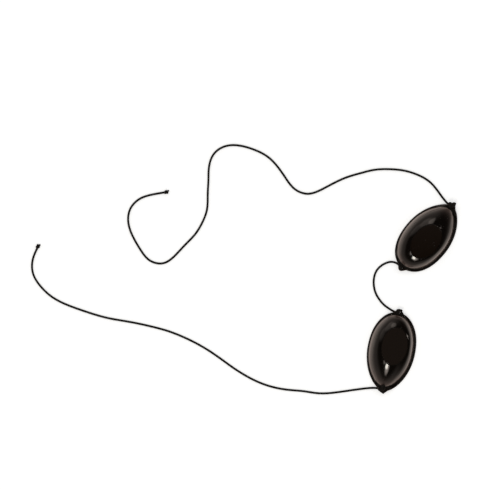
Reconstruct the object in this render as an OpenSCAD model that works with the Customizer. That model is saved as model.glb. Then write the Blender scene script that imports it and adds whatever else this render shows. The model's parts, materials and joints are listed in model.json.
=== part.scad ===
// Tanning goggles: two almond-shaped eye cups with oval lenses, joined over the
// nose by a short round elastic cord and tied round the head by two long ones.
// The pair lies on its rims with the domes up. +X points to the brows, +Y from
// the left cup to the right one, +Z out of the lenses. Millimetres.

/* [Eye cups] */
// Half of the wall's width across the eye, at its foot
cup_half_w = 16.4; // [14.5:0.1:18]
// How far the wall stands off the flange's middle line, towards the cheek
foot_off = 0.4; // [0:0.1:0.6]
// Length of the wall's foot from the widest station to the nose end
cup_nose_l = 26.1; // [24:0.1:29]
// Length of the wall's foot from the widest station to the temple end
cup_temple_l = 28.3; // [26:0.1:31]
// Wall thickness at its foot
wall_t = 1.2; // [0.9:0.1:1.5]
// Height of the lens's middle above the surface that the rims rest on
dome_h = 9.8; // [9:0.1:11]
// How far the wall leans in over its lower, steep part
skirt_in = 2.0; // [1.4:0.1:2.4]
// Slope of the shoulder where it meets the lens, in degrees
shoulder_slope = 15; // [12:0.5:18]

/* [Rim flange] */
// Mean width of the flange on the two long sides
flange_w = 1.45; // [1.2:0.05:2.2]
// Width of the flange at the nose end
flange_nose_w = 2.2; // [1.7:0.1:2.6]
// Width of the flange at the temple end
flange_temple_w = 3.4; // [2.4:0.1:3.8]
// Thickness of the flange
flange_t = 1.2; // [0.9:0.1:1.5]
// Height of the flange's underside along the cup's sides
flange_z = 0.3; // [0.2:0.05:0.5]

/* [Cord ears] */
// Thickness of the ear at each end of a cup
ear_t = 1.4; // [1:0.1:2]
// Radius of the ear's tip round its hole
ear_r = 2.4; // [2.1:0.1:3]
// Half of the ear's width at its root
ear_root_half_w = 5.6; // [4.6:0.1:6.4]
// From the wall's foot at the nose end to the hole's axis
nose_hole_out = 2.5; // [2.1:0.1:3]
// From the wall's foot at the temple end to the hole's axis
temple_hole_out = 2.3; // [2.1:0.1:3]
// Gap between the cord below an ear and the ear
ear_gap = 0.35; // [0.3:0.05:0.6]
// Radial clearance of the cord in an ear's hole
hole_gap = 0.1; // [0.05:0.01:0.2]

/* [Lenses] */
// Half of the lens's length
lens_half_l = 14.1; // [12:0.1:15]
// Half of the lens's width
lens_half_w = 9.6; // [8:0.1:10.4]
// Lens thickness
lens_t = 1.2; // [0.9:0.1:1.5]
// Lens offset towards the nose
lens_nose_off = 2.3; // [0:0.1:4]
// Lens offset towards the brow
lens_brow_off = 1.7; // [0:0.1:2.2]
// Lens tilt, lower at the nose end
lens_nose_tilt = 3; // [0:0.5:6]
// Lens tilt, lower at the brow side
lens_brow_tilt = 5; // [0:0.5:8]
// Width of the ledge that the lens is seated on
ledge_w = 1.3; // [1:0.1:2]
// Thickness of that ledge
ledge_t = 0.9; // [0.7:0.1:1.4]
// Clearance between the lens's edge and its seat
lens_gap = 0.08; // [0.04:0.01:0.15]

/* [Cords] */
// Diameter of the elastic cord
cord_d = 1.6; // [1.2:0.1:2]
// Radius of the cord's turn up into an ear's hole
elbow_r = 1.0; // [1:0.05:1.2]
// Radius of the knot at a long cord's free end
knot_r = 1.8; // [1.5:0.05:2.2]
// Height of that knot
knot_h = 2.6; // [2:0.1:3.2]
// Radius of a knot on a nose ear
nose_knot_r = 2.1; // [1.7:0.05:2.3]
// Radius of a knot on a temple ear
temple_knot_r = 2.5; // [1.8:0.05:2.6]
// Height of a knot on an ear
ear_knot_h = 3.2; // [2.4:0.1:3.6]
// Length of the cut tail that stands out of a knot at an ear
tail_l = 3.1; // [2.6:0.1:4]
// Gap between an ear's face and the knot on it
knot_gap = 0.1; // [0.05:0.01:0.2]

/* [Layout on the table] */
// Middle of the right cup's widest station, along X
right_cup_x = 10.5; // [5:0.1:20]
// Middle of the right cup's widest station, along Y
right_cup_y = 44.7; // [40:0.1:50]
// Direction of the right cup's temple end, in degrees from +X
right_cup_turn = 50; // [45:0.5:55]
// Middle of the left cup's widest station, along X
left_cup_x = -15.5; // [-20:0.1:-10]
// Middle of the left cup's widest station, along Y
left_cup_y = -38.2; // [-45:0.1:-34]
// Direction of the left cup's temple end, in degrees from +X
left_cup_turn = 258.5; // [253:0.5:264]

/* [Hidden] */

// Exponents of the almond outline: blunt towards the nose, pointed at the temple
nose_bluntness = 2.25;
temple_point = 0.625;
// The wall's own exponent on the cheek side, where it keeps closer to the flange
cheek_point = 0.58;

cord_r = cord_d / 2;
ear_z = cord_d + ear_gap;
hole_r = cord_r + hole_gap;
// The flange lifts to the ears over this stretch, so that a cord passes below it
lift_start = 6.4;
lift_l = 6;
// The flange's end runs inside the ear, just above the ear's underside
flange_sink = 0.1;
// Rounding of the flange's edge
edge_in = 0.35;

// The wall's profile outside and inside: how far its steep part leans in, how far
// below the lens that part ends, as a multiple of what the shoulder's own slope
// would drop on the way there, and what share of that slope is left at the lens.
// The last is the reach of both curves' shoulder.
outer_form = [skirt_in, 1.3, 1];
inner_form = [0.45 * skirt_in, 1.2, 0.5];
shoulder_reach = 0.42;
// The pointed temple end is this much thicker at its foot than the sides
temple_thicker = 1.6;
// The ears' roots: how far the slanted edges and the plate run into the wall
ear_root_in = 0.5;
ear_plate_in = 0.7 * wall_t;
// A cut tail is a little thinner than the cord. The right temple's is longer.
tail_r = 0.9 * cord_d / 2;
long_tail_l = tail_l + 0.7;

// Shapes that only cut or trim another stand out of it by this much
spare = 1;

// Directions in which the cords leave the four ears, in degrees from +X
right_nose_out = 130;
left_nose_out = 178;
right_temple_out = 145;
left_temple_out = 163;
// Direction of the left nose knot's cut tail. The others point away from the cup.
left_nose_tail = 30;

// Routes of the cords on the table between their ends, seen from above
nose_route = [[-10, 25.5], [-12.5, 27], [-15.5, 27.5], [-19.5, 26.5], [-23.5, 24],
              [-26.5, 20.5], [-28, 16.5], [-28.5, 12], [-28, 7.5], [-26.5, 3],
              [-24, -1], [-21, -4.5], [-17, -7.5], [-13.5, -9.5]];
right_route = [[27, 71], [24, 74.5], [20, 80], [13.5, 87.5], [4, 93], [-6, 96],
               [-16.5, 97], [-27.5, 96.5], [-38, 94], [-48, 91], [-58, 86.5],
               [-67.5, 81.5], [-77.5, 78.5], [-87, 82], [-94, 90.5], [-100, 99],
               [-107.5, 106.5], [-117, 111.5], [-127, 114.5], [-138, 114.5],
               [-147, 109], [-151, 99], [-151.5, 88.5], [-152, 78], [-152.5, 67],
               [-156, 57], [-161.5, 48], [-169, 40], [-176, 32.5], [-185, 26.5],
               [-195, 28.5], [-202, 36.5], [-207.5, 46], [-211, 56], [-210, 66.5],
               [-203, 74.5], [-193, 78], [-184.5, 79.5]];
left_route = [[-25, -67], [-29.5, -66.5], [-36, -67], [-47, -68.5], [-58, -70],
              [-69.5, -70.5], [-80.5, -69], [-91.5, -68], [-103, -66],
              [-113.5, -62.5], [-123.5, -57.5], [-133, -51.5], [-142, -45],
              [-151.5, -38.5], [-161, -33], [-171.5, -28], [-182, -24],
              [-193, -21], [-204, -18.5], [-215, -16.5], [-226, -14.5],
              [-237, -11.5], [-247.5, -8], [-258, -4], [-268, 1.5],
              [-276.5, 9.5], [-282, 19], [-282, 30], [-279, 37.5]];

// Stations round a cup's outline, and steps up its wall
outline_n = 72;
wall_steps = 7;
inner_steps = 6;
cord_sides = 8;

cup_color = "#1e1510";
lens_color = "#15100c";
cord_color = "#3a3631";

// Point of an almond outline at angle t, +X to the temple, +Y to the brow. The
// exponent of its pointed end may differ on the cheek side.
function almond(t, half_w, nose_l, temple_l, cheek = temple_point) =
    let (c = cos(t), s = sin(t), point = s < 0 ? cheek : temple_point)
    c < 0
    ? [nose_l * c, half_w * sign(s) * sqrt(1 - pow(-c, nose_bluntness))]
    : [temple_l * c, half_w * sign(s) * pow(1 - c * c, point)];

function foot_pt(t) =
    almond(t, cup_half_w, cup_nose_l, cup_temple_l, cheek_point) - [0, foot_off];
function inner_foot_pt(t) =
    almond(t, cup_half_w - wall_t, cup_nose_l - wall_t,
           cup_temple_l - temple_thicker * wall_t, cheek_point)
    - [0, foot_off];
function flange_pt(t, inset) =
    almond(t, cup_half_w + flange_w - inset, cup_nose_l + flange_nose_w - inset,
           cup_temple_l + flange_temple_w - inset);

// Height of the flange's underside, lifting towards the two ears
function ease(x) = let (k = min(max(x, 0), 1)) k * k * (3 - 2 * k);
function flange_under(t) =
    let (u = foot_pt(t)[0],
         past_nose = -u - (cup_nose_l - lift_start),
         past_temple = u - (cup_temple_l - lift_start),
         k = ease(max(past_nose, past_temple) / lift_l))
    flange_z + (ear_z + flange_sink - flange_z) * k;

// A point of the lens's own frame, put where the lens sits in the cup
function tilt_x(p, a) = [p[0], p[1] * cos(a) - p[2] * sin(a), p[1] * sin(a) + p[2] * cos(a)];
function tilt_y(p, a) = [p[0] * cos(a) + p[2] * sin(a), p[1], p[2] * cos(a) - p[0] * sin(a)];
function in_cup(p) =
    [-lens_nose_off, lens_brow_off, dome_h] + tilt_y(tilt_x(p, -lens_brow_tilt), -lens_nose_tilt);
function oval(t, grow, z) = [(lens_half_l + grow) * cos(t), (lens_half_w + grow) * sin(t), z];

// Cubic curve through four points, at k from 0 to 1
function curve(a, b, c, d, k) =
    a * pow(1 - k, 3) + 3 * b * k * pow(1 - k, 2) + 3 * c * k * k * (1 - k) + d * pow(k, 3);

// Profile of the wall: steep at its foot, then a shoulder that eases into the
// lens's seat. Its points are a distance in from the foot and a height.
function wall_profile(d, rise, form, k) =
    let (slope = form[2] * shoulder_slope, reach = shoulder_reach * d)
    curve([0, 0], [form[0], rise - (d - form[0]) * tan(slope) * form[1]],
          [d - reach * cos(slope), rise - reach * sin(slope)], [d, rise], k);
function wall_pt(foot, top, z0, form, k) =
    let (span = [top[0] - foot[0], top[1] - foot[1]],
         d = norm(span),
         p = wall_profile(d, top[2] - z0, form, k),
         at = foot + span * (p[0] / d))
    [at[0], at[1], z0 + p[1]];

function ring(f) = [for (i = [0:outline_n - 1]) f(i * 360 / outline_n)];
function at_z(p, z) = [p[0], p[1], z];
function outer_wall(t, k) =
    wall_pt(foot_pt(t), in_cup(oval(t, lens_gap, 0)), flange_under(t) + flange_t,
            outer_form, k);
function inner_wall(t, k) =
    wall_pt(inner_foot_pt(t), in_cup(oval(t, lens_gap - ledge_w, -lens_t - ledge_t)), 0,
            inner_form, k);

// The cup's skin as rings: up the outside, over the lens seat, down the inside
cup_rings = concat(
    [ring(function (t) at_z(foot_pt(t), 0))],
    [ring(function (t) at_z(foot_pt(t), flange_under(t)))],
    [ring(function (t) at_z(flange_pt(t, edge_in), flange_under(t)))],
    [ring(function (t) at_z(flange_pt(t, 0), flange_under(t) + edge_in))],
    [ring(function (t) at_z(flange_pt(t, 0), flange_under(t) + flange_t - edge_in))],
    [ring(function (t) at_z(flange_pt(t, edge_in), flange_under(t) + flange_t))],
    [for (j = [0:wall_steps]) ring(function (t) outer_wall(t, j / wall_steps))],
    [ring(function (t) in_cup(oval(t, lens_gap, -lens_t)))],
    [ring(function (t) in_cup(oval(t, lens_gap - ledge_w, -lens_t)))],
    [for (j = [0:inner_steps]) ring(function (t) inner_wall(t, 1 - j / inner_steps))]);

// Closed skin through rings of equal length. Wrapped joins the last to the first,
// otherwise both ends are capped.
module skin(rings, wrapped) {
    n = len(rings[0]);
    m = len(rings);
    last = wrapped ? m - 1 : m - 2;
    sides = [for (j = [0:last], i = [0:n - 1])
        let (a = j * n + i, b = j * n + (i + 1) % n,
             c = ((j + 1) % m) * n + (i + 1) % n, d = ((j + 1) % m) * n + i)
        each [[a, c, b], [a, d, c]]];
    caps = wrapped ? [] : [[for (i = [0:n - 1]) i], [for (i = [n - 1:-1:0]) (m - 1) * n + i]];
    polyhedron(points = [for (r = rings) each r], faces = concat(sides, caps));
}

// Flat ear with its tip round the hole at the origin, outwards along +X
module ear_plate(hole_out) {
    root_x = -hole_out - ear_root_in;
    to_root = norm([root_x, ear_root_half_w]);
    tangent = atan2(ear_root_half_w, root_x) - acos(ear_r / to_root);
    tip = [for (k = [-6:6]) ear_r * [cos(tangent * k / 6), sin(tangent * k / 6)]];
    inner_x = -hole_out - ear_plate_in;
    translate([0, 0, ear_z])
        linear_extrude(ear_t)
            polygon(concat(tip, [[root_x, ear_root_half_w], [inner_x, ear_root_half_w],
                                 [inner_x, -ear_root_half_w], [root_x, -ear_root_half_w]]));
}

nose_hole_x = -cup_nose_l - nose_hole_out;
temple_hole_x = cup_temple_l + temple_hole_out;

module ear_hole(x) {
    translate([x, 0, ear_z - spare])
        cylinder(r = hole_r, h = ear_t + 2 * spare, $fn = 48);
}

module eye_cup() {
    color(cup_color)
        difference() {
            union() {
                skin(cup_rings, true);
                translate([nose_hole_x, 0, 0]) rotate(180) ear_plate(nose_hole_out);
                translate([temple_hole_x, 0, 0]) ear_plate(temple_hole_out);
            }
            ear_hole(nose_hole_x);
            ear_hole(temple_hole_x);
        }
}

module lens() {
    color(lens_color)
        translate([-lens_nose_off, lens_brow_off, dome_h])
            rotate([-lens_brow_tilt, -lens_nose_tilt, 0])
                translate([0, 0, -lens_t])
                    linear_extrude(lens_t)
                        polygon([for (i = [0:outline_n - 1])
                            let (p = oval(i * 360 / outline_n, 0, 0)) [p[0], p[1]]]);
}

// Where things sit on the table. The right cup is the left one's mirror image.
module as_right() {
    translate([right_cup_x, right_cup_y, 0]) rotate(right_cup_turn) mirror([0, 1, 0]) children();
}
module as_left() {
    translate([left_cup_x, left_cup_y, 0]) rotate(left_cup_turn) children();
}
function along(turn, l) = [l * cos(turn), l * sin(turn)];
right_nose_hole = [right_cup_x, right_cup_y] + along(right_cup_turn, nose_hole_x);
right_temple_hole = [right_cup_x, right_cup_y] + along(right_cup_turn, temple_hole_x);
left_nose_hole = [left_cup_x, left_cup_y] + along(left_cup_turn, nose_hole_x);
left_temple_hole = [left_cup_x, left_cup_y] + along(left_cup_turn, temple_hole_x);

// Knot on an ear: the ball on top, its cut tail, the stem down through the hole
// and the turn out under the ear, where the free cord begins
module ear_knot(hole, out, r, tail_turn, tail = tail_l) {
    ball_z = ear_z + ear_t + knot_gap;
    middle_z = ball_z + ear_knot_h / 2;
    color(cord_color)
        translate([hole[0], hole[1], 0]) {
            rotate(out) {
                translate([0, 0, cord_r + elbow_r])
                    cylinder(r = cord_r, h = middle_z - cord_r - elbow_r, $fn = 32);
                translate([elbow_r, 0, cord_r + elbow_r])
                    rotate([90, 0, 0])
                        rotate(180)
                            rotate_extrude(angle = 90, $fn = 32)
                                translate([elbow_r, 0])
                                    circle(r = cord_r, $fn = 32);
            }
            translate([0, 0, ball_z]) rotate(tail_turn + 180) knot_ball(r, ear_knot_h);
            translate([0, 0, middle_z])
                rotate(tail_turn)
                    rotate([0, 90, 0])
                        cylinder(r = tail_r, h = tail, $fn = 32);
        }
}

module knot_ball(r, h) {
    intersection() {
        translate([0, 0, h / 2]) sphere(r = r, $fn = 40);
        cylinder(r = r + spare, h = h, $fn = 40);
    }
}

// Knot at a free end: a short neck that meets the cord, and the ball
module end_knot(route) {
    n = len(route);
    last = route[n - 1];
    dir = last - route[n - 2];
    neck_l = knot_r;
    color(cord_color)
        translate([last[0], last[1], 0])
            rotate(atan2(dir[1], dir[0])) {
                translate([0, 0, cord_r])
                    rotate([0, 90, 0])
                        cylinder(r = cord_r, h = neck_l, $fn = 32);
                translate([neck_l, 0, 0]) knot_ball(knot_r, knot_h);
            }
}

// Full routes: the point where the cord leaves an ear's knot, then the free points
function outlet(hole, out) = hole + along(out, elbow_r);
nose_points = concat([outlet(right_nose_hole, right_nose_out)], nose_route,
                     [outlet(left_nose_hole, left_nose_out)]);
right_points = concat([outlet(right_temple_hole, right_temple_out)], right_route);
left_points = concat([outlet(left_temple_hole, left_temple_out)], left_route);

// Direction of a route at point i: the first and last follow what they meet
function unit(v) = v / norm(v);
function way(points, i, start, end) =
    i == 0 ? along(start, 1)
    : i == len(points) - 1 ? end
    : unit(unit(points[i] - points[i - 1]) + unit(points[i + 1] - points[i]));

// Tube along a route that lies flat on the table
module cord(points, start, end) {
    n = len(points);
    color(cord_color)
        skin([for (i = [0:n - 1])
            let (w = way(points, i, start, end), side = [-w[1], w[0]])
            [for (k = [0:cord_sides - 1])
                let (a = (k + 0.5) * 360 / cord_sides,
                     p = points[i] + side * (cord_r * cos(a)))
                [p[0], p[1], cord_r + cord_r * sin(a)]]], false);
}
function last_way(points) = unit(points[len(points) - 1] - points[len(points) - 2]);

module right_eye_cup() as_right() eye_cup();
module left_eye_cup() as_left() eye_cup();
module right_lens() as_right() lens();
module left_lens() as_left() lens();
module nose_cord() cord(nose_points, right_nose_out, along(left_nose_out + 180, 1));
module right_head_cord() cord(right_points, right_temple_out, last_way(right_points));
module left_head_cord() cord(left_points, left_temple_out, last_way(left_points));
module right_nose_knot()
    ear_knot(right_nose_hole, right_nose_out, nose_knot_r, right_cup_turn + 180);
module left_nose_knot()
    ear_knot(left_nose_hole, left_nose_out, nose_knot_r, left_nose_tail);
module right_temple_knot()
    ear_knot(right_temple_hole, right_temple_out, temple_knot_r, right_cup_turn, long_tail_l);
module left_temple_knot()
    ear_knot(left_temple_hole, left_temple_out, temple_knot_r, left_cup_turn);
module right_end_knot() end_knot(right_points);
module left_end_knot() end_knot(left_points);

right_eye_cup();
left_eye_cup();
right_lens();
left_lens();
nose_cord();
right_head_cord();
left_head_cord();
right_nose_knot();
left_nose_knot();
right_temple_knot();
left_temple_knot();
right_end_knot();
left_end_knot();
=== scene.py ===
# %% [markdown]
# # Tanning goggles
# Two dark eye cups lie rims down on a white table. A short elastic cord joins them over
# the nose and two long ones, each tied off with a knot, go round the head. The solid
# model already fixes where every piece sits, so this script only dresses it: it loads
# that frame before anything else is made.

# %% Load the frame
import json
from math import atan2, cos, hypot, pi, radians, sin, tan

import bpy
import numpy as np
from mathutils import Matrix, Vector


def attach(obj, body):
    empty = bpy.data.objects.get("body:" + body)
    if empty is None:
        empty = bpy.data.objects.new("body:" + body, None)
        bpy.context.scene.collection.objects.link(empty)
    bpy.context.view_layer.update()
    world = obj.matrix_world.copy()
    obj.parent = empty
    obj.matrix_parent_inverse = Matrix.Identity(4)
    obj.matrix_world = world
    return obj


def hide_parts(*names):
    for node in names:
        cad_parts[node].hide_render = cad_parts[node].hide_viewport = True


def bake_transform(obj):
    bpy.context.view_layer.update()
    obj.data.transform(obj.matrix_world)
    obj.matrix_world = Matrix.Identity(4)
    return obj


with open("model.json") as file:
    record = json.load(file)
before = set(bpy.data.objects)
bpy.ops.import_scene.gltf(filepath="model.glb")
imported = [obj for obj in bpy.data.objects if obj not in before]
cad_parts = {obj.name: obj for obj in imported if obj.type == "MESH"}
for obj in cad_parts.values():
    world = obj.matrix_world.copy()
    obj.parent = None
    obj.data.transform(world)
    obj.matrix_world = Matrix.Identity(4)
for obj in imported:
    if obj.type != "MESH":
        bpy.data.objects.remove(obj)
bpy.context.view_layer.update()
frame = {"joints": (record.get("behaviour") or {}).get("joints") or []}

MM = 0.001

# %% [markdown]
# The photograph looks almost straight down. The tops of the domes lie a little higher in
# the picture than their rims do, which puts the camera about six degrees off the
# vertical, on the side of the picture's lower edge. A long lens from three metres keeps
# the cups and the far ends of the cords at one scale, as the photograph does.

# %% Camera
PICTURE_W = 365.0        # mm of table that the picture's width covers
PICTURE_MIDDLE = (-124.2, 40.2, 0.0)    # mm, the point of the table in its middle
CAMERA_UP = 84.0         # degrees above the table
CAMERA_AWAY = 3000.0     # mm
SENSOR_W = 36.0          # mm
VIEW_END = 20.0          # m, how far the camera sees

scene = bpy.context.scene


def direction(turn, up):
    """Unit vector at an angle round from +X and an angle above the table, in degrees."""
    turn, up = radians(turn), radians(up)
    return Vector((cos(turn) * cos(up), sin(turn) * cos(up), sin(up)))


def in_scene(name, data):
    """A new object in the scene, from the data of a camera, a mesh or a lamp."""
    made = bpy.data.objects.new(name, data)
    scene.collection.objects.link(made)
    return made


camera_data = bpy.data.cameras.new("camera")
camera_data.sensor_width, camera_data.clip_end = SENSOR_W, VIEW_END
camera_data.lens = SENSOR_W * CAMERA_AWAY / PICTURE_W
camera = in_scene("camera", camera_data)
camera.location = (Vector(PICTURE_MIDDLE) + direction(-90, CAMERA_UP) * CAMERA_AWAY) * MM
camera.rotation_euler = (radians(90 - CAMERA_UP), 0, 0)
scene.camera = camera
scene.view_settings.view_transform = "Standard"
print("lens, mm:", round(camera_data.lens))

# %% [markdown]
# Every new piece is a surface of two parameters. One parameter runs along each ring of
# points and the other from ring to ring, so a mesh is just a stack of rings. A stack may
# close on itself, as a cup's wall does when it is followed up the outside and down the
# inside, or end in a cap, as a cord does.

# %% Meshes from rings
def stack_faces(rings, sides, wrapped):
    """Quads between neighbouring rings, each (ring, side), (ring, side + 1), (next ring,
    side + 1), (next ring, side). A wrapped stack joins its last ring to its first."""
    row = np.arange(rings if wrapped else rings - 1)[:, None]
    side = np.arange(sides)[None, :]
    after, turn = (row + 1) % rings, (side + 1) % sides
    corners = (row * sides + side, row * sides + turn, after * sides + turn, after * sides + side)
    return np.stack(np.broadcast_arrays(*corners), -1).reshape(-1, 4)


def volume_of(points, triangles):
    """Signed volume of a closed mesh: the sum, over its triangles, of a . (b x c) / 6."""
    a, b, c = points[triangles].transpose(1, 0, 2)
    return np.einsum("ij,ij->i", a, np.cross(b, c)).sum() / 6


def ring_mesh(name, stack, wrapped=False):
    """A closed mesh from a stack of rings, shaped (rings, sides, 3), in millimetres. An
    open stack gets a cap of triangles round one middle point at each end. Faces are turned
    to point outwards."""
    rings, sides = stack.shape[:2]
    points = stack.reshape(-1, 3)
    quads, caps = stack_faces(rings, sides, wrapped), np.zeros((0, 3), int)
    if not wrapped:
        side = np.arange(sides)
        turn = (side + 1) % sides
        first, last = len(points), len(points) + 1
        points = np.vstack([points, stack[0].mean(0), stack[-1].mean(0)])
        end = (rings - 1) * sides
        caps = np.vstack([np.stack([turn, side, np.full(sides, first)], -1),
                          np.stack([end + side, end + turn, np.full(sides, last)], -1)])
    if volume_of(points, np.vstack([quads[:, :3], quads[:, [0, 2, 3]], caps])) < 0:
        quads, caps = quads[:, ::-1], caps[:, ::-1]
    mesh = bpy.data.meshes.new(name)
    mesh.from_pydata((points * MM).tolist(), [], quads.tolist() + caps.tolist())
    mesh.shade_smooth()
    return in_scene(name, mesh)


# %% [markdown]
# A cord is drawn as a few points on the table. A cubic spline through them is
# the smoothest line that an elastic cord could take, and walking along it in equal steps
# gives the rings of its tube an even spacing.

# %% Smooth lines through points
SPLINE_STEPS = 40        # places worked out from one given point to the next


def distance_along(line):
    """How far along a line each of its points is: the steps before it, added up."""
    return np.concatenate([[0], np.cumsum(np.linalg.norm(np.diff(line, axis=0), axis=1))])


def spline(points, step, start=None, end=None):
    """Cubic spline through the points, by chord length, resampled at equal steps. The
    curvature is continuous. start and end set the direction there, and without them the
    line ends with no curvature. Returns the line's points and its length."""
    points = np.asarray(points, float)
    count = len(points)
    gap = np.linalg.norm(np.diff(points, axis=0), axis=1)
    matrix, right = np.zeros((count, count)), np.zeros_like(points)
    slope = np.diff(points, axis=0) / gap[:, None]
    # One equation for each point: the line bends as much just before it as just after it
    for i in range(1, count - 1):
        matrix[i, i - 1:i + 2] = gap[i], 2 * (gap[i - 1] + gap[i]), gap[i - 1]
        right[i] = 3 * (gap[i] * slope[i - 1] + gap[i - 1] * slope[i])
    matrix[0, :2], right[0] = ((1, 0), start) if start is not None else ((2, 1), 3 * slope[0])
    matrix[-1, -2:], right[-1] = ((0, 1), end) if end is not None else ((1, 2), 3 * slope[-1])
    way = np.linalg.solve(matrix, right)

    fine = np.linspace(0, 1, SPLINE_STEPS, endpoint=False)[None, :, None]
    a, b = points[:-1, None], points[1:, None]
    reach = gap[:, None, None]
    curve = (a * (1 + 2 * fine) * (1 - fine) ** 2 + b * fine ** 2 * (3 - 2 * fine)
             + reach * fine * (1 - fine) * (way[:-1, None] * (1 - fine) - way[1:, None] * fine))
    curve = np.vstack([curve.reshape(-1, 3), points[-1]])
    along = distance_along(curve)
    even = np.linspace(0, along[-1], int(round(along[-1] / step)) + 1)
    return np.stack([np.interp(even, along, curve[:, k]) for k in range(3)], -1), along[-1]


# %% [markdown]
# A tube is a circle carried along its line, and the circle needs two directions across
# the line at every point. Working them out afresh at each point would let them jump, so
# they are carried on from the point before, and the braid stays untwisted.

# %% Tubes along a line
STEEP = 0.7              # the upward part of a line's first direction past which it is steep


def unit(vectors):
    """The same directions with a length of 1, for one vector or for rows of them."""
    return vectors / np.linalg.norm(vectors, axis=-1, keepdims=True)


def carried_frames(line):
    """Two directions across the line at each point. The first is carried from point to
    point by taking out of it what lies along the line, so that the tube doesn't twist."""
    forward = unit(np.gradient(line, axis=0))
    across = np.zeros_like(line)
    guess = np.array([0.0, 0.0, 1.0] if abs(forward[0, 2]) < STEEP else [1.0, 0.0, 0.0])
    for i, way in enumerate(forward):
        guess = unit(guess - way * guess.dot(way))
        across[i] = guess
    return across, np.cross(forward, across)


def tube(line, radius, sides):
    """Rings of a round tube along the line: line + radius (across cos a + other sin a)."""
    across, other = carried_frames(line)
    turn = np.arange(sides) * 2 * pi / sides
    radius = np.broadcast_to(radius, len(line))[:, None, None]
    return line[:, None] + radius * (across[:, None] * np.cos(turn)[None, :, None]
                                     + other[:, None] * np.sin(turn)[None, :, None])


# %% [markdown]
# The braid has to follow the cord, so each tube gets a map of its own surface: the
# distance along it and the turn round it. Where the turn comes back to its start, the
# corner of the last face gets the full turn, so that the pattern isn't squeezed there.

# %% A map along a tube
def lengthwise_map(piece, line, sides):
    """UV map of a capped tube: u is the distance along it in millimetres and v goes from
    0 to 1 round it. Each corner of a face takes its own side, so that no face wraps."""
    layer = piece.data.uv_layers.new(name="braid")
    loops, faces = piece.data.loops, piece.data.polygons
    corner, count = np.zeros(len(loops), int), np.zeros(len(faces), int)
    loops.foreach_get("vertex_index", corner)
    faces.foreach_get("loop_total", count)
    ring = np.minimum(corner // sides, len(line) - 1)
    side = corner % sides
    # A mesh lists the corners of its first face, then those of the next, and so on
    face = np.repeat(np.arange(len(faces)), count)
    has_zero, has_last = np.zeros(len(faces), bool), np.zeros(len(faces), bool)
    has_zero[face[side == 0]] = True
    has_last[face[side == sides - 1]] = True
    wraps = (has_zero & has_last)[face] & (side == 0)
    v = (side + sides * wraps) / sides
    layer.data.foreach_set("uv", np.stack([distance_along(line)[ring], v], -1).ravel())


# %% [markdown]
# The cords start from the four holes in the cups' ears. The solid model has a joint at
# each hole, so its joints give these places, and with them where each cup lies and which
# way it points.

# %% Holes and ways out
CORD_D = 1.6             # mm, the elastic cord
CORD_R = CORD_D / 2
ELBOW_R = 1.0            # mm, its turn up into an ear's hole

joint_at = {joint["name"]: np.array(joint["pos_m"][:2]) / MM for joint in frame["joints"]}
right_nose_hole, right_temple_hole = joint_at["right_nose_swivel"], joint_at["right_temple_swivel"]
left_nose_hole, left_temple_hole = joint_at["left_nose_swivel"], joint_at["left_temple_swivel"]

RIGHT_NOSE_OUT, LEFT_NOSE_OUT = 130, 178         # degrees from +X, the ways out of the ears
RIGHT_TEMPLE_OUT, LEFT_TEMPLE_OUT = 145, 163
print("right cup, hole to hole, mm:", round(hypot(*(right_temple_hole - right_nose_hole)), 1))

# %% [markdown]
# The routes across the table are the same points that the solid cords follow, in
# millimetres. An elastic cord is limp but springy, so it lies in wide loose curves, and a
# point every ten millimetres or so is enough for the spline to find them.

# %% Routes on the table
NOSE_ROUTE = [(-10, 25.5), (-12.5, 27), (-15.5, 27.5), (-19.5, 26.5), (-23.5, 24),
              (-26.5, 20.5), (-28, 16.5), (-28.5, 12), (-28, 7.5), (-26.5, 3),
              (-24, -1), (-21, -4.5), (-17, -7.5), (-13.5, -9.5)]
RIGHT_ROUTE = [(27, 71), (24, 74.5), (20, 80), (13.5, 87.5), (4, 93), (-6, 96),
               (-16.5, 97), (-27.5, 96.5), (-38, 94), (-48, 91), (-58, 86.5),
               (-67.5, 81.5), (-77.5, 78.5), (-87, 82), (-94, 90.5), (-100, 99),
               (-107.5, 106.5), (-117, 111.5), (-127, 114.5), (-138, 114.5),
               (-147, 109), (-151, 99), (-151.5, 88.5), (-152, 78), (-152.5, 67),
               (-156, 57), (-161.5, 48), (-169, 40), (-176, 32.5), (-185, 26.5),
               (-195, 28.5), (-202, 36.5), (-207.5, 46), (-211, 56), (-210, 66.5),
               (-203, 74.5), (-193, 78), (-184.5, 79.5)]
LEFT_ROUTE = [(-25, -67), (-29.5, -66.5), (-36, -67), (-47, -68.5), (-58, -70),
              (-69.5, -70.5), (-80.5, -69), (-91.5, -68), (-103, -66),
              (-113.5, -62.5), (-123.5, -57.5), (-133, -51.5), (-142, -45),
              (-151.5, -38.5), (-161, -33), (-171.5, -28), (-182, -24),
              (-193, -21), (-204, -18.5), (-215, -16.5), (-226, -14.5),
              (-237, -11.5), (-247.5, -8), (-258, -4), (-268, 1.5),
              (-276.5, 9.5), (-282, 19), (-282, 30), (-279, 37.5)]
print("points of the routes:", len(NOSE_ROUTE), len(RIGHT_ROUTE), len(LEFT_ROUTE))

# %% [markdown]
# Each cord leaves the small bend under its ear in a set direction and then takes its
# route. The short one has a direction at both ends, since it goes into both cups.

# %% The cords' lines
def heading(turn):
    """Unit vector on the table at that angle from +X, in degrees."""
    return np.array([cos(radians(turn)), sin(radians(turn)), 0.0])


def on_table(points):
    """Points of the table raised to the middle of a cord that lies on it."""
    return np.array([(x, y, CORD_R) for x, y in points])


def outlet(hole, out):
    """Where a cord leaves the bend under an ear."""
    return np.array([*hole, CORD_R]) + heading(out) * ELBOW_R


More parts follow.
